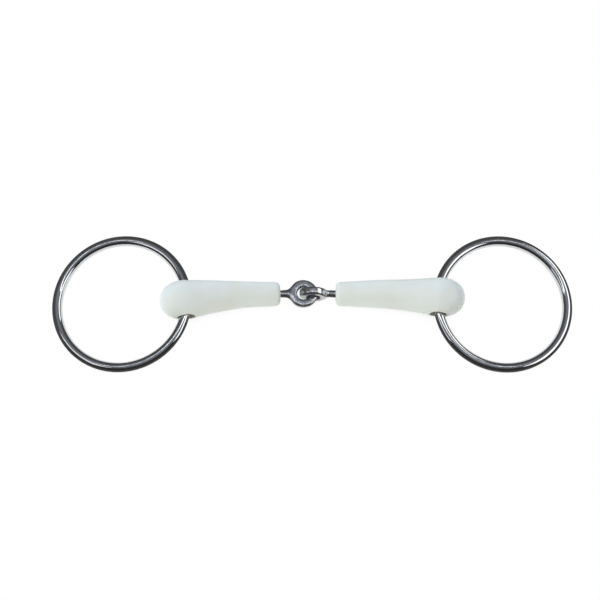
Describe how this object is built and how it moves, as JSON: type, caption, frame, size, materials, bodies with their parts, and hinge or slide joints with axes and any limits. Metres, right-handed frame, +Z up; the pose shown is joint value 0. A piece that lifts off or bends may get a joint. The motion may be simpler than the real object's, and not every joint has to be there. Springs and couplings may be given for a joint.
{
  "type": "snaffle bit",
  "caption": "Jointed loose-ring snaffle bit: plastic-sleeved mouthpiece halves linked at the centre, with round rein rings that slide and swing through the butts.",
  "frame": {"origin": "Middle of the bit's footprint, on the surface that it lies on.", "axes": "+X runs from the left ring to the right ring, +Y is the side that the centre joint is displaced to, +Z is up from the surface."},
  "size_m": [0.2577, 0.0701, 0.0196],
  "materials": {
    "ring_steel": "mirror-polished stainless steel, round wire",
    "bush_steel": "turned stainless steel, satin bore",
    "core_steel": "forged and polished stainless steel",
    "sleeve_plastic": "soft milky-white moulded plastic with a cool green tint, satin sheen"
  },
  "bodies": {
    "left_half": {"core_left": "core_steel", "sleeve_left": "sleeve_plastic"},
    "right_half": {"core_right": "core_steel", "sleeve_right": "sleeve_plastic"},
    "left_bush": {"bush_left": "bush_steel"},
    "right_bush": {"bush_right": "bush_steel"},
    "left_ring": {"ring_left": "ring_steel"},
    "right_ring": {"ring_right": "ring_steel"}
  },
  "joints": [
    {"name": "centre_fold", "type": "hinge", "parent": "left_half", "child": "right_half", "pos_m": [-0.0043, 0.00475, 0.007], "axis": [0, 0, 1], "range_deg": [-104, 116]},
    {"name": "left_ring_swing", "type": "hinge", "parent": "left_half", "child": "left_bush", "pos_m": [-0.06201, 0.00097, 0.0098], "axis": [-0.0654, 0.9979, 0], "range_deg": [-155.8, 174.2]},
    {"name": "right_ring_swing", "type": "hinge", "parent": "right_half", "child": "right_bush", "pos_m": [0.06214, 0.00226, 0.0098], "axis": [0.0405, 0.9992, 0], "range_deg": [-174.2, 155.8]},
    {"name": "left_ring_spin", "type": "hinge", "parent": "left_bush", "child": "left_ring", "pos_m": [-0.09405, 0.00002, 0.00616], "axis": [-0.1127, -0.0033, 0.9936], "continuous": true},
    {"name": "right_ring_spin", "type": "hinge", "parent": "right_bush", "child": "right_ring", "pos_m": [0.09411, -0.00009, 0.00616], "axis": [0.1124, -0.0083, 0.9936], "continuous": true}
  ]
}
